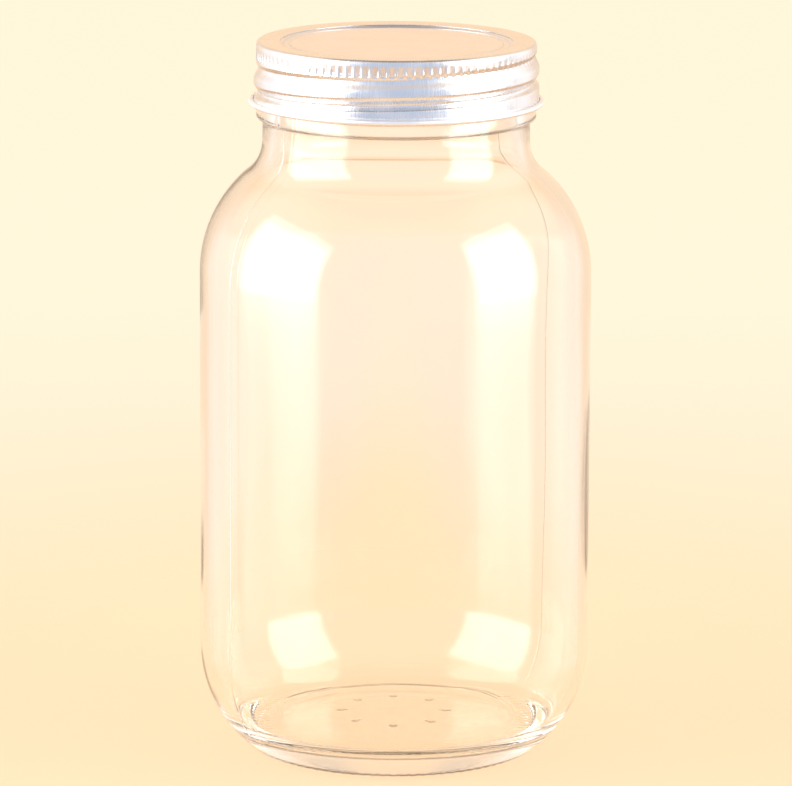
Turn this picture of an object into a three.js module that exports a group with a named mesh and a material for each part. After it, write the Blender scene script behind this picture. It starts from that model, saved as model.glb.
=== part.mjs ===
// A quart preserving jar with a two-piece closure: a glass jar, a lid disc with a sealing ring
// bonded under it, and a screw band that holds the disc down on the jar's rim.
// Millimetres, +Z up. The origin is the centre of the face that the jar stands on.
import * as THREE from 'three';

// Driving dimensions.
const HEIGHT = 180;            // from the standing face to the top of the band
const BODY_RADIUS = 49.15;
const NECK_RADIUS = 33.5;
const MOUTH_RADIUS = 30.2;
const WALL = 2.6;              // glass, at the body
const BAND_RADIUS = 35;        // outside, just under the band's top edge
const WINDOW_RADIUS = 29.05;   // the hole in the top of the band
const SHEET = 0.3;             // metal of the band and the disc
const THREAD_PITCH = 6.35;     // four turns to the inch, right-handed
const CLEARANCE = 0.1;         // left between faces that rest on each other
const SEGMENTS = 48;           // round each piece

// Heights of the closure's stack, from the top down.
const DISC_TOP = HEIGHT - SHEET - CLEARANCE;
const RING_TOP = DISC_TOP - SHEET - CLEARANCE;
const RING_THICKNESS = 0.7;
const RIM_HEIGHT = RING_TOP - RING_THICKNESS - CLEARANCE;

// The jar's outline.
const BEARING_RADIUS = 35;     // outer edge of the flat ring that the jar stands on
const BEARING_WIDTH = 2.4;
const HEEL_TOE = 3;            // the small round next to the flat ring
const HEEL_ROUND = 32;         // the large round above it
const HEEL_ANGLE = THREE.MathUtils.degToRad(52);
const HEEL_HEIGHT = HEEL_TOE + (HEEL_ROUND - HEEL_TOE) * Math.sin(HEEL_ANGLE);
const SHOULDER_HEIGHT = 121.6; // where the straight body ends
const SHOULDER_ROUND = 33.4;
const SHOULDER_ANGLE = THREE.MathUtils.degToRad(48.6);
const NECK_FOOT = 154.9;       // where the neck becomes straight
const NECK_FILLET = 10;
const NECK_WALL = 3.1;
const BEAD_RADIUS = 35;        // the transfer bead below the thread
const BEAD_FOOT = 160.6;
const BEAD_TOP = 164.6;
const FLOOR_HEIGHT = 7;        // inside, next to the heel
const FLOOR_ROUND = 8;         // inside, between the floor and the heel
const PUSH_UP = 2.6;           // how far the whole floor rises to its centre

// The thread is one right-hand helix. A turn counts from +X, and one turn lifts it by the pitch.
const HELIX_FOOT = 163.92;     // height of the band's groove at turn 0
const RIDGE_ABOVE_GROOVE = 2.75;
const RIDGE_START = 0.12;      // in turns
const RIDGE_END = 1.3;
const RIDGE_RISE = 1.25;
const RIDGE_HALF_WIDTH = 1.7;
const RIDGE_RUN_OUT = 0.1;     // turns over which the ridge dies away

// The band: its groove, the bulge between two turns of the groove, and the rolled bottom edge.
const GROOVE_RADIUS = 34.5;    // outside of the band, at the bottom of the groove
const BULGE = 0.65;
const GROOVE_START = 0.3;
const GROOVE_END = 2.35;
const GROOVE_RUN_OUT = 0.15;
const GROOVE_HALF_WIDTH = 1.9;
const BULGE_END = 1.3;
const BULGE_RUN_OUT = 0.15;
const BULGE_TOP = 178;         // no bulge above this height
const BULGE_FADE = 2;
const CORNER_ROUND = 0.9;
const CURL_HEIGHT = 164.9;
const CURL_RADIUS = 36.15;
const CURL_ROUND = 0.6;

const { degToRad, smoothstep } = THREE.MathUtils;
const quarter = Math.PI / 2;

// Points on an arc in the plane of radius and height, both ends included.
function arc(radius, height, round, from, to, steps) {
  return Array.from({ length: steps + 1 }, (_, i) => {
    const angle = from + (to - from) * i / steps;
    return new THREE.Vector2(radius + round * Math.cos(angle), height + round * Math.sin(angle));
  });
}

// A corner of an outline.
const at = (radius, height) => new THREE.Vector2(radius, height);

// The points of a sheet's middle line, moved sideways by a distance.
function offset(path, distance) {
  return path.map((point, i) => {
    const before = path[Math.max(i - 1, 0)];
    const after = path[Math.min(i + 1, path.length - 1)];
    const along = after.clone().sub(before).normalize();
    return at(point.x - along.y * distance, point.y + along.x * distance);
  });
}

// One hump, 1 at its middle and 0 from a distance of 1.
const hump = (x) => (Math.abs(x) < 1 ? (1 + Math.cos(Math.PI * x)) / 2 : 0);

// 1 between two turns, falling to 0 over the run-out inside each end.
function between(turn, start, end, runOut) {
  return smoothstep(turn, start, start + runOut) * (1 - smoothstep(turn, end - runOut, end));
}

// A solid of revolution about +Z. The shift adds to the radius of a point, by its turn from +X.
function turned(outline, shift = () => 0) {
  const geometry = new THREE.LatheGeometry(outline, SEGMENTS);
  geometry.rotateX(quarter);
  const position = geometry.attributes.position;
  for (let i = 0; i < position.count; i += 1) {
    const [x, y, height] = [position.getX(i), position.getY(i), position.getZ(i)];
    const radius = Math.hypot(x, y);
    if (radius > 0) {
      const turn = THREE.MathUtils.euclideanModulo(Math.atan2(y, x) / (2 * Math.PI), 1);
      const stretch = 1 + shift(turn, radius, height) / radius;
      position.setXY(i, x * stretch, y * stretch);
    }
  }
  geometry.computeVertexNormals();
  return geometry;
}

// How far the jar's thread stands out at a place on the finish.
function ridge(firstTurn, radius, height) {
  const onFinish = radius > NECK_RADIUS - CLEARANCE && height > BEAD_TOP && height < RIM_HEIGHT;
  let rise = 0;
  for (let turn = firstTurn; onFinish && turn < RIDGE_END; turn += 1) {
    const middle = HELIX_FOOT + RIDGE_ABOVE_GROOVE + THREAD_PITCH * turn;
    const strength = between(turn, RIDGE_START, RIDGE_END, RIDGE_RUN_OUT);
    rise += RIDGE_RISE * strength * hump((height - middle) / RIDGE_HALF_WIDTH);
  }
  return rise;
}

function jarOutside() {
  const toe = arc(BEARING_RADIUS, HEEL_TOE, HEEL_TOE, -quarter, -HEEL_ANGLE, 2);
  const heel = arc(BODY_RADIUS - HEEL_ROUND, HEEL_HEIGHT, HEEL_ROUND, -HEEL_ANGLE, 0, 6);
  const bearingInside = BEARING_RADIUS - BEARING_WIDTH;
  return [
    at(0, PUSH_UP), at(20, PUSH_UP * 0.8), at(bearingInside - 1.5, PUSH_UP * 0.35), at(bearingInside, 0),
    ...toe,
    ...heel.slice(1),
    ...arc(BODY_RADIUS - SHOULDER_ROUND, SHOULDER_HEIGHT, SHOULDER_ROUND, 0, SHOULDER_ANGLE, 6),
    ...arc(NECK_RADIUS + NECK_FILLET, NECK_FOOT, NECK_FILLET, Math.PI + SHOULDER_ANGLE, Math.PI, 4),
  ];
}

function jarFinish() {
  const threadFoot = BEAD_TOP + 0.6;
  const threadTop = RIM_HEIGHT - 1.4;
  const rows = 13;
  const wall = Array.from({ length: rows + 1 }, (_, i) =>
    at(NECK_RADIUS, threadFoot + (threadTop - threadFoot) * i / rows));
  return [
    at(NECK_RADIUS, BEAD_FOOT),
    at(BEAD_RADIUS - 0.4, BEAD_FOOT + 0.3), at(BEAD_RADIUS, BEAD_FOOT + 1),
    at(BEAD_RADIUS, BEAD_TOP - 1.2), at(BEAD_RADIUS - 0.4, BEAD_TOP - 0.5),
    ...wall,
    at(NECK_RADIUS - 0.3, RIM_HEIGHT - 0.4), at(NECK_RADIUS - 0.8, RIM_HEIGHT),
    at(MOUTH_RADIUS + 0.9, RIM_HEIGHT), at(MOUTH_RADIUS + 0.3, RIM_HEIGHT - 0.4),
    at(MOUTH_RADIUS, RIM_HEIGHT - 1.2),
  ];
}

function jarInside() {
  const neckInside = NECK_RADIUS - NECK_WALL;
  const filletCentre = NECK_RADIUS + NECK_FILLET;
  const shoulderCentre = BODY_RADIUS - SHOULDER_ROUND;
  const heelCentre = BODY_RADIUS - HEEL_ROUND;
  const heelInside = HEEL_ROUND - WALL;
  // The floor's round touches the heel's inside at this angle below the level of the heel's centre.
  const roundHeight = FLOOR_HEIGHT + FLOOR_ROUND;
  const floorAngle = Math.asin((HEEL_HEIGHT - roundHeight) / (heelInside - FLOOR_ROUND));
  const roundCentre = heelCentre + (heelInside - FLOOR_ROUND) * Math.cos(floorAngle);
  return [
    at(MOUTH_RADIUS, BEAD_FOOT),
    ...arc(filletCentre, NECK_FOOT, filletCentre - neckInside, Math.PI, Math.PI + SHOULDER_ANGLE, 4),
    ...arc(shoulderCentre, SHOULDER_HEIGHT, SHOULDER_ROUND - WALL, SHOULDER_ANGLE, 0, 6),
    ...arc(heelCentre, HEEL_HEIGHT, heelInside, 0, -floorAngle, 3),
    ...arc(roundCentre, roundHeight, FLOOR_ROUND, -floorAngle, -quarter, 3).slice(1),
    at(20, FLOOR_HEIGHT + PUSH_UP * 0.8), at(0, FLOOR_HEIGHT + PUSH_UP),
  ];
}

function glassJar() {
  return turned([...jarOutside(), ...jarFinish(), ...jarInside()], ridge);
}

// The disc: a flat centre panel, a groove round it, and a flat rim that is held under the band.
function lidDisc() {
  const rim = DISC_TOP - SHEET / 2;
  const panel = rim - 0.2;
  const groove = rim - 1.1;
  const middle = [
    at(0, panel), at(25.9, panel), at(26.4, panel - 0.4), at(26.9, groove), at(28.1, groove),
    at(28.8, rim - 0.15), at(29.3, rim), at(33.6, rim), at(34, rim - 0.25),
  ];
  return turned([...offset(middle, -SHEET / 2), ...offset(middle, SHEET / 2).reverse()]);
}

// The sealing ring, a flat band of soft compound under the disc's rim.
function sealingRing() {
  const inside = MOUTH_RADIUS - 0.5;
  const outside = NECK_RADIUS + 0.1;
  const foot = RING_TOP - RING_THICKNESS;
  const bevel = 0.25;
  return turned([
    at(inside, RING_TOP), at(inside, foot + bevel), at(inside + bevel, foot), at(outside - bevel, foot),
    at(outside, foot + bevel), at(outside, RING_TOP), at(inside, RING_TOP),
  ]);
}

// The band's outside radius where it is threaded, less the radius of its plain wall.
function bandShift(firstTurn, radius, height) {
  const isWall = Math.abs(radius - BAND_RADIUS + SHEET / 2) < SHEET;
  const onWall = isWall && height > CURL_HEIGHT + CURL_ROUND && height < HEIGHT - CORNER_ROUND;
  if (!onWall) {
    return 0;
  }
  // Turns from the groove that lies just below this place to the place itself.
  const above = THREE.MathUtils.euclideanModulo((height - HELIX_FOOT) / THREAD_PITCH - firstTurn, 1);
  const turnBelow = (height - HELIX_FOOT) / THREAD_PITCH - above;
  const bulging = 1 - smoothstep(turnBelow, BULGE_END, BULGE_END + BULGE_RUN_OUT);
  const crest = BULGE * bulging * (1 - smoothstep(height, BULGE_TOP - BULGE_FADE, BULGE_TOP));
  const nearest = above < 0.5 ? turnBelow : turnBelow + 1;
  const away = Math.min(above, 1 - above) * THREAD_PITCH;
  const strength = between(nearest, GROOVE_START, GROOVE_END, GROOVE_RUN_OUT);
  const depth = crest + BAND_RADIUS - GROOVE_RADIUS;
  return crest - depth * strength * hump(away / GROOVE_HALF_WIDTH);
}

// The band: a flat flange, a round corner, a threaded wall and a rolled bottom edge.
function screwBand() {
  const flange = HEIGHT - SHEET / 2;
  const wallRadius = BAND_RADIUS - SHEET / 2;
  const wallTop = flange - CORNER_ROUND;
  const wallFoot = CURL_HEIGHT + 1.1;
  const rows = 13;
  const wall = Array.from({ length: rows + 1 }, (_, i) =>
    at(wallRadius, wallTop + (wallFoot - wallTop) * i / rows));
  const middle = [
    at(WINDOW_RADIUS, flange), at(31, flange),
    ...arc(wallRadius - CORNER_ROUND, wallTop, CORNER_ROUND, quarter, 0, 3).slice(0, -1),
    ...wall,
    ...arc(CURL_RADIUS, CURL_HEIGHT, CURL_ROUND, Math.PI, 2 * Math.PI + degToRad(120), 7),
  ];
  const inside = offset(middle, -SHEET / 2);
  return turned([...inside, ...offset(middle, SHEET / 2).reverse(), inside[0].clone()], bandShift);
}

function piece(name, geometry, color, roughness, metalness) {
  const mesh = new THREE.Mesh(geometry, new THREE.MeshStandardMaterial({ color, roughness, metalness }));
  mesh.name = name;
  return mesh;
}

const jar = new THREE.Group();
jar.add(piece('glass_jar', glassJar(), 0xf4f1ea, 0.03, 0));
jar.add(piece('lid_disc', lidDisc(), 0xd9d4cc, 0.3, 1));
jar.add(piece('sealing_ring', sealingRing(), 0xb9b4a8, 0.6, 0));
jar.add(piece('screw_band', screwBand(), 0xc9ccd2, 0.28, 1));

export default jar;
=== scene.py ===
"""Looks of a quart preserving jar with a two-piece closure, standing empty on a pale table.

The shapes repeat the solids' outlines in millimetres, finer and with the small features that the
solids leave out, and are scaled to metres when a mesh is made.
"""
import math

import bpy
import numpy as np
from mathutils import Matrix, Vector

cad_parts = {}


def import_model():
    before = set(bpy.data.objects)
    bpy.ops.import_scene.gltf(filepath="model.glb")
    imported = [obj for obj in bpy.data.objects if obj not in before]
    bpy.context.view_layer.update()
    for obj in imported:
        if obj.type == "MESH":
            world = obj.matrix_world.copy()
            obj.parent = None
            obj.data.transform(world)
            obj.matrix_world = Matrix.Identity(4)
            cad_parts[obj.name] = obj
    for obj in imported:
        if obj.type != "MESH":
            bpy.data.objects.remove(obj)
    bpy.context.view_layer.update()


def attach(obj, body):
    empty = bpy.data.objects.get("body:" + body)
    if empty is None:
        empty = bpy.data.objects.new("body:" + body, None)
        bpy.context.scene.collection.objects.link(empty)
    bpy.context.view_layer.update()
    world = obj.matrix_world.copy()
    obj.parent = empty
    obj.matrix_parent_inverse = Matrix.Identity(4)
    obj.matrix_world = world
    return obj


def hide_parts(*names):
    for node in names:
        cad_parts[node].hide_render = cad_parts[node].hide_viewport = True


# Driving dimensions of the object, in millimetres.
HEIGHT = 180.0
BODY_RADIUS = 49.15
NECK_RADIUS = 33.5
MOUTH_RADIUS = 30.2
WALL = 2.6
BAND_RADIUS = 35.0
WINDOW_RADIUS = 29.05
SHEET = 0.3
THREAD_PITCH = 6.35
CLEARANCE = 0.1

# Heights of the closure's stack.
DISC_TOP = HEIGHT - SHEET - CLEARANCE
RING_TOP = DISC_TOP - SHEET - CLEARANCE
RING_THICKNESS = 0.7
RIM_HEIGHT = RING_TOP - RING_THICKNESS - CLEARANCE

# The jar's outline. Angles are in degrees.
BEARING_RADIUS = 35.0
BEARING_WIDTH = 2.4
HEEL_TOE = 3.0
HEEL_ROUND = 32.0
HEEL_ANGLE = 52.0
HEEL_HEIGHT = HEEL_TOE + (HEEL_ROUND - HEEL_TOE) * math.sin(math.radians(HEEL_ANGLE))
SHOULDER_HEIGHT = 121.6
SHOULDER_ROUND = 33.4
SHOULDER_ANGLE = 48.6
NECK_FOOT = 154.9
NECK_FILLET = 10.0
NECK_WALL = 2.6
BEAD_RADIUS = 35.0
BEAD_FOOT = 160.6
BEAD_TOP = 164.6
BEAD_EDGE = 0.9
FLOOR_HEIGHT = 7.0              # at its edge
FLOOR_ROUND = 8.0
PUSH_UP = 2.6                   # the whole floor is domed this much

# Small marks of the mould on the glass.
SEAM_TURNS = (0.094, 0.594)     # the two halves of the mould meet here
SEAM_HEIGHT = 0.07
SEAM_HALF_WIDTH = 0.5
BASE_SEAM_RADIUS = 29.2         # where the mould's base plate ends, a little off centre
BASE_SEAM_OFFSET = (0.8, 0.6)
BEARING_RIBS = 90
RIB_DEPTH = 0.1
BASE_SEAM_DEPTH = 0.15
BASE_SEAM_HALF_WIDTH = 0.5
DOT_RING_RADIUS = 13.0          # a plain ring of dots under the floor
DOTS = 8
DOT_RADIUS = 1.3
DOT_DEPTH = 0.35
WAVE = 0.09                     # how uneven the inside of the glass is

# The thread. A turn counts from +X, counter-clockwise seen from above.
HELIX_FOOT = 163.92
RIDGE_ABOVE_GROOVE = 2.75
RIDGE_START = 0.12
RIDGE_END = 1.3
RIDGE_RISE = 1.25
RIDGE_HALF_WIDTH = 1.7
RIDGE_RUN_OUT = 0.1

# The band.
GROOVE_RADIUS = 34.5
BULGE = 0.65
GROOVE_START = 0.3
GROOVE_END = 2.35
GROOVE_RUN_OUT = 0.15
GROOVE_ABOVE = (2.4, 1.2)       # reach above its deepest line, in the turn under the bulge and over it
GROOVE_BELOW = (1.4, 3.0)       # reach below that line, in the same two turns
BULGE_END = 1.3
BULGE_RUN_OUT = 0.15
BULGE_TOP = 178.0
BULGE_FADE = 2.0
CORNER_ROUND = 0.9
CURL_HEIGHT = 164.9
CURL_RADIUS = 36.15
CURL_ROUND = 0.6
WALL_FOOT = CURL_HEIGHT + 1.1   # where the wall turns out into the curl
FLUTES = 104
FLUTE_DEPTH = 0.42
FLUTE_LAND = 0.26               # half the width of the land between two flutes, in flutes
FLUTE_TOP = 178.5
FLUTE_FOOT = 175.75
LIP_ROUND = 0.06                # the flange's edge at its hole
LIP_WIDTH = 2.4                 # over this width the flange thins and comes down to the disc
LIP_GAP = 0.02

MM = 0.001
LIGHT_BOUNCES = 24              # thick glass traps light for many turns

# The stage, the lights and the camera, in metres and degrees. Azimuth 0 is where the camera stands.
TABLE_RADIUS = 0.6
TABLE_CORNERS = 96
TABLE_NARROWING = 0.45          # across the view
TABLE_SHIFT = -0.1              # towards the camera
TABLE_FADE = (0.15, 0.56)       # the paper fades out over these distances, before narrowing
SOFTBOXES = (                   # name, azimuth, width
    ("softbox_left", -73.5, 1.35),
    ("softbox_right", 69, 0.95),
)
SOFTBOX_ELEVATION = 11.5
SOFTBOX_DISTANCE = 1.1
SOFTBOX_TALL = 1.348
SOFTBOX_RADIANCE = 4.0
SOFTBOX_AIM = 0.1               # the height that the panels face
CAMERA_PLACE = (0.00026, -1.388, 0.3818)
CAMERA_TILT = 11.86             # downwards
CAMERA_ROLL = 0.27
CAMERA_LENS = 255.8             # in millimetres, on a sensor 36 mm wide
SENSOR_WIDTH = 36

# Colours of the stage, as linear light. TENT_BACK is behind the object, for heights of a direction
# from straight down, -1, to straight up, 1.
PAPER_DIFFUSE = (0.17, 0.15, 0.12, 1)
PAPER_GLOW = (0.95, 0.66, 0.405, 1)
TENT_BACK = (
    (-0.26, (1.12, 0.80, 0.525)),
    (-0.2499, (1.12, 0.81, 0.535)),
    (-0.2413, (1.12, 0.835, 0.565)),
    (-0.2241, (1.12, 0.875, 0.628)),
    (-0.2067, (1.12, 0.902, 0.68)),
    (-0.1893, (1.12, 0.939, 0.716)),
    (-0.1, (1.12, 0.93, 0.69)),
    (0.08, (1.14, 0.81, 0.52)),
    (0.4, (1.14, 0.83, 0.56)),
)
TENT_SPAN = (-0.5, 1.0)         # the heights that TENT_BACK's blend covers
TENT_EDGE = (0.98, 0.76, 0.56)
TENT_SIDE = (1.24, 1.17, 1.14)
TENT_END = (0.82, 0.79, 0.78)
TENT_TOP = (0.3, 0.3, 0.33)
TENT_FLOOR = (0.8, 0.5, 0.3)
TENT_FRONT = (0.6, 0.7, 0.88)


# ---------------------------------------------------------------- outlines

def arc(radius, height, bend, start, end, steps):
    """Points on an arc in the plane of radius and height, both ends included."""
    angles = np.radians(np.linspace(start, end, steps + 1))
    return np.column_stack([radius + bend * np.cos(angles), height + bend * np.sin(angles)])


def run(start, end, steps):
    """Points on a straight line, both ends included."""
    return np.linspace(start, end, steps + 1)


def joined(*parts):
    """One outline from several, with points that repeat the one before dropped."""
    points = np.vstack([np.atleast_2d(p) for p in parts])
    keep = np.ones(len(points), bool)
    keep[1:] = np.linalg.norm(np.diff(points, axis=0), axis=1) > 1e-4
    return points[keep]


def offset(path, distance):
    """The points of a sheet's middle line, moved sideways by a distance."""
    along = np.gradient(path, axis=0)
    along /= np.linalg.norm(along, axis=1)[:, None]
    return path + distance * np.column_stack([-along[:, 1], along[:, 0]])


def hump(x):
    """1 at 0, falling to 0 at a distance of 1."""
    return np.where(np.abs(x) < 1, (1 + np.cos(np.pi * x)) / 2, 0.0)


def smooth(x, start, end):
    """0 before start, 1 after end, with soft ends."""
    t = np.clip((x - start) / (end - start), 0, 1)
    return t * t * (3 - 2 * t)


def between(turn, start, end, run_out):
    """1 between two turns, falling to 0 over the run-out inside each end."""
    return smooth(turn, start, start + run_out) * (1 - smooth(turn, end - run_out, end))


# ---------------------------------------------------------------- meshes

def turned(outline, turns, shape=None):
    """A grid of points, one ring for each point of the outline and one column for each turn.

    shape(turn, radius, height) gives the new radius and height of every point.
    """
    turn = np.broadcast_to(turns, (len(outline), len(turns)))
    radius = np.broadcast_to(outline[:, :1], turn.shape)
    height = np.broadcast_to(outline[:, 1:], turn.shape)
    if shape:
        radius, height = shape(turn, radius, height)
    angle = 2 * np.pi * turn
    return np.stack([radius * np.cos(angle), radius * np.sin(angle), height], axis=-1)


def solid(name, grid, material):
    """A closed solid from a grid of rings. It closes on the axis, or else from last ring to first."""
    on_axis = np.hypot(grid[:, 0, 0], grid[:, 0, 1]) < 1e-6
    rings = grid[~on_axis]
    rows, columns = rings.shape[:2]
    vertices = rings.reshape(-1, 3)
    index = np.arange(rows * columns).reshape(rows, columns)
    here = index if not on_axis.any() else index[:-1]
    above = np.roll(index, -1, axis=0)[: len(here)]
    corners = [here, np.roll(here, -1, axis=1), np.roll(above, -1, axis=1), above]
    faces = np.stack(corners, axis=-1).reshape(-1, 4).tolist()
    for pole, ring, side in zip(grid[on_axis, 0], (index[0], index[-1]), (1, -1)):
        middle = np.full(columns, len(vertices))
        vertices = np.vstack([vertices, pole])
        faces += np.column_stack([ring, middle, np.roll(ring, -1)][::side]).tolist()
    return mesh_object(name, vertices * MM, faces, material)


def mesh_object(name, vertices, faces, material):
    """A smooth-shaded object whose faces point out of the solid."""
    mesh = bpy.data.meshes.new(name)
    mesh.from_pydata(vertices.tolist(), [], faces)
    mesh.update()
    if signed_volume(mesh) < 0:
        mesh.flip_normals()
    mesh.shade_smooth()
    mesh.materials.append(material)
    obj = bpy.data.objects.new(name, mesh)
    bpy.context.scene.collection.objects.link(obj)
    return obj


def signed_volume(mesh):
    """Six times the volume that a closed mesh holds, negative where it is inside out."""
    mesh.calc_loop_triangles()
    corners = np.empty(len(mesh.loop_triangles) * 3, np.int32)
    mesh.loop_triangles.foreach_get("vertices", corners)
    points = np.empty(len(mesh.vertices) * 3)
    mesh.vertices.foreach_get("co", points)
    a, b, c = points.reshape(-1, 3)[corners].reshape(-1, 3, 3).transpose(1, 0, 2)
    return float(np.einsum("ij,ij->i", a, np.cross(b, c)).sum())


# ---------------------------------------------------------------- the glass jar

def dome(radii, foot):
    """The pushed-up middle of the floor, from its foot's height, at some radii."""
    share = radii / (BEARING_RADIUS - BEARING_WIDTH)
    return np.column_stack([radii, foot + PUSH_UP * np.clip(1 - share ** 3, 0, 1)])


def jar_underside():
    """From the axis to the outer edge of the ring that the jar stands on."""
    inner_edge = BEARING_RADIUS - BEARING_WIDTH
    return joined(
        dome(np.linspace(0, inner_edge, 56), 0),
        run((inner_edge, 0), (BEARING_RADIUS, 0), 4),
        arc(BEARING_RADIUS, HEEL_TOE, HEEL_TOE, -90, -HEEL_ANGLE, 6),
    )


def jar_wall():
    """The heel, body, shoulder, neck and bead, which the mould shapes from outside."""
    edge = BEAD_EDGE
    return joined(
        arc(BODY_RADIUS - HEEL_ROUND, HEEL_HEIGHT, HEEL_ROUND, -HEEL_ANGLE, 0, 18)[1:],
        run((BODY_RADIUS, HEEL_HEIGHT), (BODY_RADIUS, SHOULDER_HEIGHT), 6),
        arc(BODY_RADIUS - SHOULDER_ROUND, SHOULDER_HEIGHT, SHOULDER_ROUND, 0, SHOULDER_ANGLE, 18),
        arc(NECK_RADIUS + NECK_FILLET, NECK_FOOT, NECK_FILLET, 180 + SHOULDER_ANGLE, 180, 12),
        (NECK_RADIUS, BEAD_FOOT - 0.5),
        (NECK_RADIUS + 0.12, BEAD_FOOT - 0.12),
        arc(BEAD_RADIUS - edge, BEAD_FOOT + edge, edge, -75, 0, 6),
        arc(BEAD_RADIUS - edge, BEAD_TOP - edge, edge, 0, 75, 6),
        (NECK_RADIUS + 0.12, BEAD_TOP + 0.1),
    )


def jar_finish():
    """The threaded wall, up to the rim."""
    return run((NECK_RADIUS, BEAD_TOP + 0.5), (NECK_RADIUS, RIM_HEIGHT - 1.2), 32)


def jar_inside():
    """The rim and everything inside it, down to the floor's centre."""
    neck_inside = NECK_RADIUS - NECK_WALL
    body_inside = BODY_RADIUS - WALL
    fillet = NECK_RADIUS + NECK_FILLET
    shoulder = BODY_RADIUS - SHOULDER_ROUND
    heel = BODY_RADIUS - HEEL_ROUND
    heel_inside = HEEL_ROUND - WALL
    # The floor's round touches the heel's inside at this angle below the level of the heel's centre.
    round_height = FLOOR_HEIGHT + FLOOR_ROUND
    reach = heel_inside - FLOOR_ROUND
    floor_angle = math.degrees(math.asin((HEEL_HEIGHT - round_height) / reach))
    round_centre = heel + reach * math.cos(math.radians(floor_angle))
    return joined(
        arc(NECK_RADIUS - 1, RIM_HEIGHT - 1, 1, 0, 90, 5),
        arc(MOUTH_RADIUS + 1, RIM_HEIGHT - 1, 1, 90, 180, 5),
        run((MOUTH_RADIUS, RIM_HEIGHT - 1.2), (MOUTH_RADIUS, BEAD_FOOT), 4),
        arc(fillet, NECK_FOOT, fillet - neck_inside, 180, 180 + SHOULDER_ANGLE, 12),
        arc(shoulder, SHOULDER_HEIGHT, SHOULDER_ROUND - WALL, SHOULDER_ANGLE, 0, 16),
        run((body_inside, SHOULDER_HEIGHT), (body_inside, HEEL_HEIGHT), 12),
        arc(heel, HEEL_HEIGHT, heel_inside, 0, -floor_angle, 12),
        arc(round_centre, round_height, FLOOR_ROUND, -floor_angle, -90, 8),
        dome(np.linspace(round_centre, 0, 16), FLOOR_HEIGHT),
    )


def with_ribs_and_marks(turn, radius, height):
    """The underside: ribs across the standing ring, the base plate's seam and a ring of dots."""
    angle = 2 * np.pi * turn
    x, y = radius * np.cos(angle), radius * np.sin(angle)
    seam_away = np.hypot(x - BASE_SEAM_OFFSET[0], y - BASE_SEAM_OFFSET[1]) - BASE_SEAM_RADIUS
    lift = -BASE_SEAM_DEPTH * hump(seam_away / BASE_SEAM_HALF_WIDTH)
    for place in np.arange(DOTS) * 2 * np.pi / DOTS:
        away = np.hypot(x - DOT_RING_RADIUS * np.cos(place), y - DOT_RING_RADIUS * np.sin(place))
        lift = lift - DOT_DEPTH * hump(away / DOT_RADIUS)
    gap = smooth(np.cos(angle * BEARING_RIBS), -0.5, 0.5)
    inner_edge = BEARING_RADIUS - BEARING_WIDTH
    on_ring = smooth(radius, inner_edge - 0.3, inner_edge) * (1 - smooth(height, 0.3, 1.2))
    return radius, height + lift + RIB_DEPTH * gap * on_ring


def with_seams(turn, radius, height):
    """The outside wall, with a fine upright ridge where the mould's halves meet."""
    rise = np.zeros_like(height)
    for seam in SEAM_TURNS:
        away = (np.mod(turn - seam + 0.5, 1) - 0.5) * 2 * np.pi * radius
        rise = rise + SEAM_HEIGHT * hump(away / SEAM_HALF_WIDTH)
    ends = smooth(height, 3, 8) * (1 - smooth(height, BEAD_TOP - 0.6, BEAD_TOP - 0.1))
    return radius + rise * ends, height


def with_thread(turn, radius, height):
    """The threaded wall, with its ridge."""
    rise = np.zeros_like(height)
    for winding in (turn, turn + 1):
        middle = HELIX_FOOT + RIDGE_ABOVE_GROOVE + THREAD_PITCH * winding
        strength = between(winding, RIDGE_START, RIDGE_END, RIDGE_RUN_OUT)
        rise = rise + RIDGE_RISE * strength * hump((height - middle) / RIDGE_HALF_WIDTH)
    return radius + rise, height


def with_waves(turn, radius, height):
    """The inside wall, which no mould touches, with slow waves."""
    angle = 2 * np.pi * turn
    wave = np.sin(2 * angle + height / 19)
    wave = wave + 0.7 * np.sin(3 * angle - height / 13 + 1.3)
    wave = wave + 0.4 * np.sin(7 * angle + height / 31 + 0.6)
    strength = smooth(height, FLOOR_HEIGHT + 1, FLOOR_HEIGHT + 20) * (1 - smooth(height, 145, 158))
    return radius + WAVE * strength * wave, height


def jar_turns():
    """Even columns, and closer ones across each seam."""
    even = np.arange(4 * BEARING_RIBS) / (4 * BEARING_RIBS)
    close = np.linspace(-0.5, 0.5, 9) / (2 * np.pi * BODY_RADIUS)
    turns = [even] + [seam + close for seam in SEAM_TURNS]
    return np.unique(np.round(np.concatenate(turns), 6))


def glass_jar(material):
    """One closed wall of glass, from the middle of the underside over the rim to the floor."""
    turns = jar_turns()
    grid = np.concatenate([
        turned(jar_underside(), turns, with_ribs_and_marks),
        turned(jar_wall(), turns, with_seams),
        turned(jar_finish(), turns, with_thread),
        turned(jar_inside(), turns, with_waves),
    ])
    return solid("jar_glass", grid, material)


# ---------------------------------------------------------------- the closure

def groove(turn, height):
    """How far the band's wall stands out, and how strongly a groove crosses that place."""
    windings = (height - HELIX_FOOT) / THREAD_PITCH
    above = np.mod(windings - turn, 1)
    turn_below = windings - above
    bulging = 1 - smooth(turn_below, BULGE_END, BULGE_END + BULGE_RUN_OUT)
    crest = BULGE * bulging * (1 - smooth(height, BULGE_TOP - BULGE_FADE, BULGE_TOP))
    nearest = np.where(above < 0.5, turn_below, turn_below + 1)
    side = smooth(nearest, BULGE_END - 0.1, BULGE_END + BULGE_RUN_OUT)
    reach_above, reach_below = ((1 - side) * a + side * b for a, b in (GROOVE_ABOVE, GROOVE_BELOW))
    away = np.where(above < 0.5, above / reach_above, (1 - above) / reach_below) * THREAD_PITCH
    return crest, between(nearest, GROOVE_START, GROOVE_END, GROOVE_RUN_OUT) * hump(away)


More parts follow.
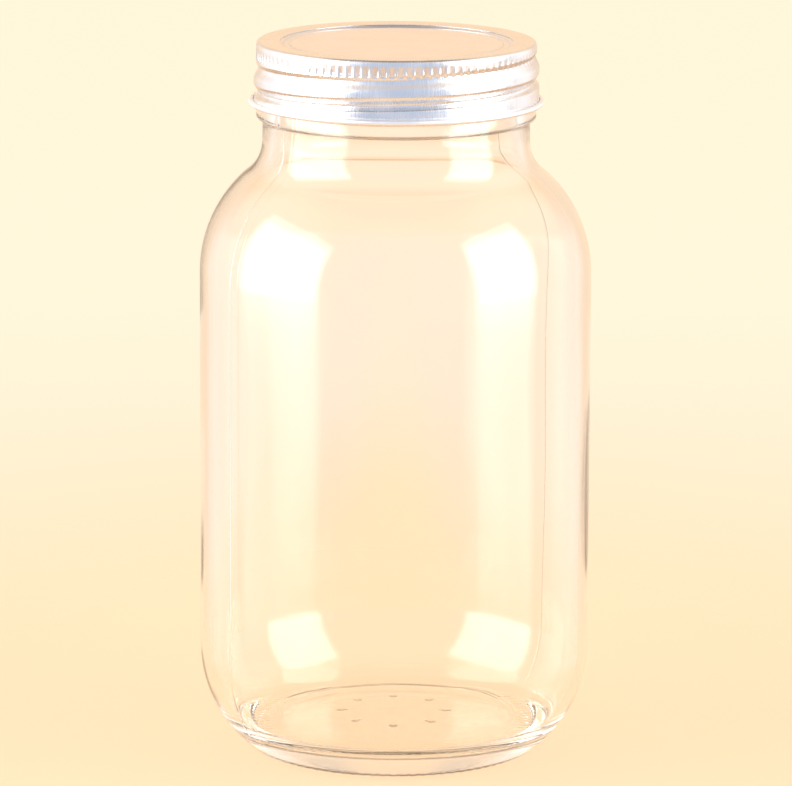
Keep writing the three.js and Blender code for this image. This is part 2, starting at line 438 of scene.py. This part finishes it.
def with_groove(turn, radius, height):
    """The band's wall, bulged between two turns of a helical groove."""
    is_wall = np.abs(radius - BAND_RADIUS + SHEET / 2) < SHEET
    on_wall = is_wall & (height > CURL_HEIGHT + CURL_ROUND) & (height < HEIGHT - CORNER_ROUND)
    crest, cut = groove(turn, height)
    shift = crest - (crest + BAND_RADIUS - GROOVE_RADIUS) * cut
    return radius + np.where(on_wall, shift, 0), height


def with_flutes(turn, radius, height):
    """The band's wall with its grip: upright flutes that deepen downwards, with narrow lands between."""
    crest, cut = groove(turn, height)
    land = hump((np.mod(FLUTES * turn + 0.5, 1) - 0.5) / FLUTE_LAND)
    depth = (FLUTE_TOP - height) / (FLUTE_TOP - FLUTE_FOOT)
    wedge = np.clip(depth, 0, 1) * (1 - smooth(depth, 0.92, 1.12))
    dip = FLUTE_DEPTH * wedge * (1 - land) * (1 - 0.6 * cut)
    radius, height = with_groove(turn, radius, height)
    return radius - dip, height


def band_middle(flange_rows, corner_rows, wall_rows):
    """The sheet's middle line and half its thickness: flange, round corner, wall and rolled edge."""
    wall = BAND_RADIUS - SHEET / 2
    corner = HEIGHT - SHEET / 2 - CORNER_ROUND
    flange = run((WINDOW_RADIUS + LIP_ROUND, 0), (wall - CORNER_ROUND, 0), flange_rows)
    lip = (WINDOW_RADIUS, WINDOW_RADIUS + LIP_WIDTH)
    half = np.interp(flange[:, 0], lip, (LIP_ROUND, SHEET / 2))
    flange[:, 1] = half + np.interp(flange[:, 0], lip, (DISC_TOP + LIP_GAP, HEIGHT - SHEET))
    middle = joined(
        flange,
        arc(wall - CORNER_ROUND, corner, CORNER_ROUND, 90, 0, corner_rows),
        run((wall, corner), (wall, WALL_FOOT), wall_rows),
        arc(CURL_RADIUS, CURL_HEIGHT, CURL_ROUND, 180, 480, 16),
    )
    rest = np.full(len(middle) - len(half), SHEET / 2)
    return middle, np.concatenate([half, rest])[:, None]


def screw_band(material):
    """A flat flange that thins towards its hole, a threaded wall and a rolled bottom edge."""
    turns = np.arange(7 * FLUTES) / (7 * FLUTES)
    inside, inside_half = band_middle(flange_rows=6, corner_rows=4, wall_rows=20)
    outside, outside_half = band_middle(flange_rows=6, corner_rows=7, wall_rows=54)
    lip, lip_height = inside[0]
    grid = np.concatenate([
        turned(arc(lip, lip_height, LIP_ROUND, 90, 270, 4)[1:-1], turns),
        turned(offset(inside, -inside_half), turns, with_groove),
        turned(offset(outside, outside_half)[::-1], turns, with_flutes),
    ])
    return solid("band_shell", grid, material)


def lid_disc(material):
    """A flat panel, a groove round it and a flat rim, turned down at its edge."""
    rim = DISC_TOP - SHEET / 2
    panel = rim - 0.2
    groove_floor = rim - 0.55
    corners = np.array([
        (0, panel), (25.2, panel), (25.7, panel - 0.04), (26.2, panel - 0.14),
        (26.7, groove_floor + 0.05), (27.2, groove_floor), (27.7, groove_floor),
        (28.2, groove_floor + 0.05), (28.9, rim - 0.06), (29.3, rim), (33.5, rim),
        (33.8, rim - 0.08), (34, rim - 0.25),
    ])
    reach = np.concatenate([[0], np.cumsum(np.linalg.norm(np.diff(corners, axis=0), axis=1))])
    steps = np.unique(np.concatenate([reach, np.linspace(0, 25, 13), np.linspace(25.4, reach[-1], 60)]))
    middle = np.column_stack([np.interp(steps, reach, corners[:, i]) for i in (0, 1)])
    turns = np.arange(360) / 360
    grid = np.concatenate([
        turned(offset(middle, -SHEET / 2), turns),
        turned(offset(middle, SHEET / 2)[::-1], turns),
    ])
    return solid("lid_panel", grid, material)


def sealing_ring(material):
    """A flat band of soft compound under the disc's rim, with round edges."""
    inside = MOUTH_RADIUS - 0.5
    outside = NECK_RADIUS + 0.1
    foot = RING_TOP - RING_THICKNESS
    edge = 0.25
    outline = joined(
        (inside, RING_TOP),
        arc(inside + edge, foot + edge, edge, 180, 270, 5),
        run((inside + edge, foot), (outside - edge, foot), 8),
        arc(outside - edge, foot + edge, edge, 270, 360, 5),
        run((outside, RING_TOP), (inside, RING_TOP), 8)[:-1],
    )
    return solid("seal", turned(outline, np.arange(240) / 240), material)


# ---------------------------------------------------------------- materials

def principled(name, **values):
    """A material, its Principled node and its node tree."""
    material = bpy.data.materials.new(name)
    material.use_nodes = True
    tree = material.node_tree
    shader = tree.nodes["Principled BSDF"]
    for key, value in values.items():
        shader.inputs[key.replace("_", " ")].default_value = value
    return material, shader, tree


def node(tree, kind, **settings):
    """A new node. A setting that names an input sets that input, and any other an attribute."""
    made = tree.nodes.new(kind)
    for key, value in settings.items():
        if key in made.inputs:
            made.inputs[key].default_value = value
        else:
            setattr(made, key, value)
    return made


def object_point(tree):
    """The place on the object, in metres."""
    return node(tree, "ShaderNodeTexCoord").outputs["Object"]


def math_node(tree, operation, *inputs):
    """The result of a sum on sockets or numbers."""
    made = node(tree, "ShaderNodeMath", operation=operation)
    for socket, value in zip(made.inputs, inputs):
        if isinstance(value, (int, float)):
            socket.default_value = value
        else:
            tree.links.new(value, socket)
    return made.outputs[0]


def remap(tree, value, source, target, **settings):
    """A value moved from one range to another and held there."""
    made = node(tree, "ShaderNodeMapRange", **settings)
    for key, number in zip(("From Min", "From Max", "To Min", "To Max"), (*source, *target)):
        made.inputs[key].default_value = number
    tree.links.new(value, made.inputs["Value"])
    return made.outputs[0]


def blended(tree, share, first, second):
    """A colour between two, each a socket or three numbers."""
    mix = node(tree, "ShaderNodeMix", data_type="RGBA")
    tree.links.new(share, mix.inputs[0])
    for socket, colour in zip(mix.inputs[6:8], (first, second)):
        if isinstance(colour, tuple):
            socket.default_value = (*colour, 1)
        else:
            tree.links.new(colour, socket)
    return mix.outputs[2]


def round_the_axis(tree, point):
    """The place unrolled: distance round at the band's radius, distance out, and height, in metres."""
    parts = node(tree, "ShaderNodeSeparateXYZ")
    tree.links.new(point, parts.inputs[0])
    x, y, z = parts.outputs
    angle = math_node(tree, "ARCTAN2", y, x)
    around = math_node(tree, "MULTIPLY", angle, BAND_RADIUS * MM)
    squares = [math_node(tree, "MULTIPLY", side, side) for side in (x, y)]
    radius = math_node(tree, "POWER", math_node(tree, "ADD", *squares), 0.5)
    join = node(tree, "ShaderNodeCombineXYZ")
    for value, socket in zip((around, radius, z), join.inputs):
        tree.links.new(value, socket)
    return join.outputs[0]


def noise(tree, point, stretch, detail):
    """Noise whose grains have the given size in metres along each axis."""
    mapping = node(tree, "ShaderNodeMapping")
    mapping.inputs["Scale"].default_value = [1 / s for s in stretch]
    tree.links.new(point, mapping.inputs[0])
    made = node(tree, "ShaderNodeTexNoise", Scale=1.0, Detail=detail, Roughness=0.5)
    tree.links.new(mapping.outputs[0], made.inputs["Vector"])
    return made.outputs["Fac"]


def spread(tree, value, low, high):
    """Noise from 0.3 to 0.7 turned into the range from low to high."""
    return remap(tree, value, (0.3, 0.7), (low, high))


def bump(tree, height, strength, distance, shader):
    """Fine relief, with its depth in metres."""
    made = node(tree, "ShaderNodeBump", Strength=strength, Distance=distance)
    tree.links.new(height, made.inputs["Height"])
    tree.links.new(made.outputs[0], shader.inputs["Normal"])


def tint(tree, value, first, second, shader):
    """The base colour, between two colours by a value from 0 to 1."""
    tree.links.new(blended(tree, value, first, second), shader.inputs["Base Color"])


def clear_glass():
    """Clear glass with a trace of warmth, its surface very slightly uneven."""
    material, shader, tree = principled(
        "clear_glass", Transmission_Weight=1.0, Roughness=0.02, IOR=1.5)
    slow = noise(tree, object_point(tree), (0.02, 0.02, 0.05), detail=1)
    tint(tree, spread(tree, slow, 0, 1), (0.99, 0.972, 0.945), (0.995, 0.98, 0.955), shader)
    bump(tree, slow, 0.25, 0.0006, shader)
    return material


def band_steel():
    """Bright steel with fine upright scratches, duller on the rolled edge and painted paler there as a
    highlight.
    """
    material, shader, tree = principled("band_steel", Metallic=1.0, Roughness=0.25)
    place = round_the_axis(tree, object_point(tree))
    scratches = noise(tree, place, (0.00025, 0.002, 0.006), detail=4)
    patches = noise(tree, place, (0.006, 0.006, 0.006), detail=2)
    height = node(tree, "ShaderNodeSeparateXYZ")
    tree.links.new(object_point(tree), height.inputs[0])
    # edge marks the rolled edge, for its rougher finish and for its painted highlight
    edge = remap(tree, height.outputs[2], (WALL_FOOT * MM, (WALL_FOOT - 0.4) * MM), (0, 1))
    wall = blended(tree, spread(tree, patches, 0, 1), (0.80, 0.80, 0.82), (0.86, 0.86, 0.87))
    # the rolled edge's paler colour is a painted highlight, standing in for the light that the curl
    # catches
    tint(tree, edge, wall, (0.93, 0.93, 0.94), shader)
    rough = math_node(tree, "ADD", spread(tree, scratches, 0.16, 0.3), spread(tree, patches, 0, 0.08))
    rough = math_node(tree, "ADD", rough, math_node(tree, "MULTIPLY", edge, 0.2))
    tree.links.new(rough, shader.inputs["Roughness"])
    bump(tree, scratches, 0.3, 0.00003, shader)
    return material


def tinplate():
    """Tin-plated sheet, brushed round the axis."""
    material, shader, tree = principled("tinplate", Metallic=1.0, Roughness=0.3)
    place = round_the_axis(tree, object_point(tree))
    brushing = noise(tree, place, (0.03, 0.0002, 0.002), detail=4)
    patches = noise(tree, object_point(tree), (0.01, 0.01, 0.01), detail=2)
    tint(tree, spread(tree, patches, 0, 1), (0.85, 0.84, 0.86), (0.89, 0.88, 0.9), shader)
    tree.links.new(spread(tree, brushing, 0.26, 0.36), shader.inputs["Roughness"])
    bump(tree, brushing, 0.2, 0.00002, shader)
    return material


def sealing_compound():
    """Grey-brown rubbery compound."""
    material, shader, tree = principled("sealing_compound", Roughness=0.6)
    grain = noise(tree, object_point(tree), (0.0008, 0.0008, 0.0008), detail=4)
    tint(tree, spread(tree, grain, 0, 1), (0.36, 0.34, 0.3), (0.42, 0.4, 0.36), shader)
    tree.links.new(spread(tree, grain, 0.5, 0.7), shader.inputs["Roughness"])
    bump(tree, grain, 0.3, 0.0001, shader)
    return material


# ---------------------------------------------------------------- the stage, the lights, the camera

def table_paper():
    """Pale paper, overexposed as in a high-key studio, that fades out far from the object."""
    material, shader, tree = principled("table_paper", Roughness=0.9, Specular_IOR_Level=0.1)
    shader.inputs["Base Color"].default_value = PAPER_DIFFUSE
    shader.inputs["Emission Color"].default_value = PAPER_GLOW
    shader.inputs["Emission Strength"].default_value = 1.0
    distance = node(tree, "ShaderNodeVectorMath", operation="LENGTH")
    tree.links.new(object_point(tree), distance.inputs[0])
    fade = remap(tree, distance.outputs["Value"], TABLE_FADE, (0, 1),
                 interpolation_type="SMOOTHSTEP")
    mix = node(tree, "ShaderNodeMixShader")
    clear = node(tree, "ShaderNodeBsdfTransparent")
    tree.links.new(fade, mix.inputs[0])
    tree.links.new(shader.outputs[0], mix.inputs[1])
    tree.links.new(clear.outputs[0], mix.inputs[2])
    tree.links.new(mix.outputs[0], tree.nodes["Material Output"].inputs["Surface"])
    return material


def table_top():
    """An oval table top, as one flat face."""
    turn = 2 * np.pi * np.arange(TABLE_CORNERS) / TABLE_CORNERS
    rim = TABLE_RADIUS * np.column_stack([np.cos(turn), np.sin(turn), np.zeros(TABLE_CORNERS)])
    mesh = bpy.data.meshes.new("table_top")
    mesh.from_pydata(rim.tolist(), [], [list(range(TABLE_CORNERS))])
    mesh.materials.append(table_paper())
    obj = bpy.data.objects.new("table_top", mesh)
    obj.location.y = TABLE_SHIFT
    obj.scale.x = TABLE_NARROWING
    bpy.context.scene.collection.objects.link(obj)
    return obj


def backdrop():
    """A light tent: cream behind the object, white beside it and pale grey at both ends.

    It is cool in front, dark overhead and warm below.
    """
    world = bpy.data.worlds.new("light_tent")
    bpy.context.scene.world = world
    world.use_nodes = True
    tree = world.node_tree
    parts = node(tree, "ShaderNodeSeparateXYZ")
    tree.links.new(node(tree, "ShaderNodeTexCoord").outputs["Generated"], parts.inputs[0])
    x, y, z = parts.outputs
    ramp = node(tree, "ShaderNodeValToRGB")
    tree.links.new(remap(tree, z, TENT_SPAN, (0, 1)), ramp.inputs[0])
    elements = ramp.color_ramp.elements
    while len(elements) < len(TENT_BACK):
        elements.new(0.5)
    for element, (height, colour) in zip(elements, TENT_BACK):
        element.position = (height - TENT_SPAN[0]) / (TENT_SPAN[1] - TENT_SPAN[0])
        element.color = (*colour, 1)
    beside = math_node(tree, "ABSOLUTE", x)
    colour = ramp.outputs[0]
    # Each part of the tent takes over where a direction leans from start to end.
    for value, start, end, wall in (
        (beside, 0.1, 0.28, TENT_EDGE),
        (beside, 0.45, 0.8, TENT_SIDE),
        (beside, 0.88, 0.96, TENT_END),
        (y, -0.3, -0.85, TENT_FRONT),
        (z, 0.8, 0.93, TENT_TOP),
        (z, -0.28, -0.36, TENT_FLOOR),
    ):
        share = remap(tree, value, (start, end), (0, 1), interpolation_type="SMOOTHSTEP")
        colour = blended(tree, share, colour, wall)
    tree.links.new(colour, tree.nodes["Background"].inputs["Color"])


def softbox(name, azimuth, width):
    """A soft panel of light that faces the object."""
    light = bpy.data.lights.new(name, "AREA")
    light.shape = "RECTANGLE"
    light.size, light.size_y = width, SOFTBOX_TALL
    light.energy = SOFTBOX_RADIANCE * math.pi * width * SOFTBOX_TALL
    soften(light)
    obj = bpy.data.objects.new(name, light)
    turn, lift = math.radians(azimuth), math.radians(SOFTBOX_ELEVATION)
    out = Vector((math.sin(turn) * math.cos(lift), -math.cos(turn) * math.cos(lift), math.sin(lift)))
    obj.location = out * SOFTBOX_DISTANCE + Vector((0, 0, SOFTBOX_AIM))
    obj.rotation_euler = out.to_track_quat("Z", "Y").to_euler()
    obj.visible_camera = False
    bpy.context.scene.collection.objects.link(obj)
    return obj


def soften(light):
    """Soft edges on a panel of light, which is dimmer along its top and much dimmer at its foot."""
    light.use_nodes = True
    tree = light.node_tree
    parts = node(tree, "ShaderNodeSeparateXYZ")
    tree.links.new(node(tree, "ShaderNodeNewGeometry").outputs["Parametric"], parts.inputs[0])
    across, up, _ = parts.outputs
    strength = None
    for value, start, end, low, high in (
        (across, 0.0, 0.12, 0.0, 1.0),
        (across, 1.0, 0.88, 0.0, 1.0),
        (up, 0.0, 0.05, 0.0, 1.0),
        (up, 0.145, 0.254, 0.2, 1.0),
        (up, 1.0, 0.97, 0.0, 1.0),
        (up, 0.92, 0.86, 0.45, 1.0),
    ):
        part = remap(tree, value, (start, end), (low, high), interpolation_type="SMOOTHSTEP")
        strength = part if strength is None else math_node(tree, "MULTIPLY", strength, part)
    tree.links.new(strength, tree.nodes["Emission"].inputs["Strength"])


def camera():
    """Where the photographer stood: 1.39 m away and 12 degrees above the horizontal."""
    data = bpy.data.cameras.new("camera")
    data.sensor_width = SENSOR_WIDTH
    data.lens = CAMERA_LENS
    obj = bpy.data.objects.new("camera", data)
    place = Matrix.Translation(CAMERA_PLACE)
    tilt = Matrix.Rotation(math.radians(90 - CAMERA_TILT), 4, "X")
    roll = Matrix.Rotation(math.radians(CAMERA_ROLL), 4, "Z")
    obj.matrix_world = place @ tilt @ roll
    bpy.context.scene.collection.objects.link(obj)
    bpy.context.scene.camera = obj


# ---------------------------------------------------------------- the scene

def main():
    """Load the solids, put each visible piece in its place and light them."""
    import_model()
    bpy.context.scene.view_settings.view_transform = "Standard"
    bpy.context.scene.cycles.max_bounces = LIGHT_BOUNCES
    bpy.context.scene.cycles.transmission_bounces = LIGHT_BOUNCES
    bpy.context.scene.cycles.glossy_bounces = LIGHT_BOUNCES
    pieces = (
        (glass_jar(clear_glass()), "jar", "glass_jar", "clear_glass"),
        (lid_disc(tinplate()), "lid", "lid_disc", "tinplate"),
        (sealing_ring(sealing_compound()), "lid", "sealing_ring", "sealing_compound"),
        (screw_band(band_steel()), "band", "screw_band", "band_steel"),
    )
    for piece, body, cad_node, slot in pieces:
        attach(piece, body)
        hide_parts(cad_node)
    table_top()
    backdrop()
    for name, azimuth, width in SOFTBOXES:
        softbox(name, azimuth, width)
    camera()


main()
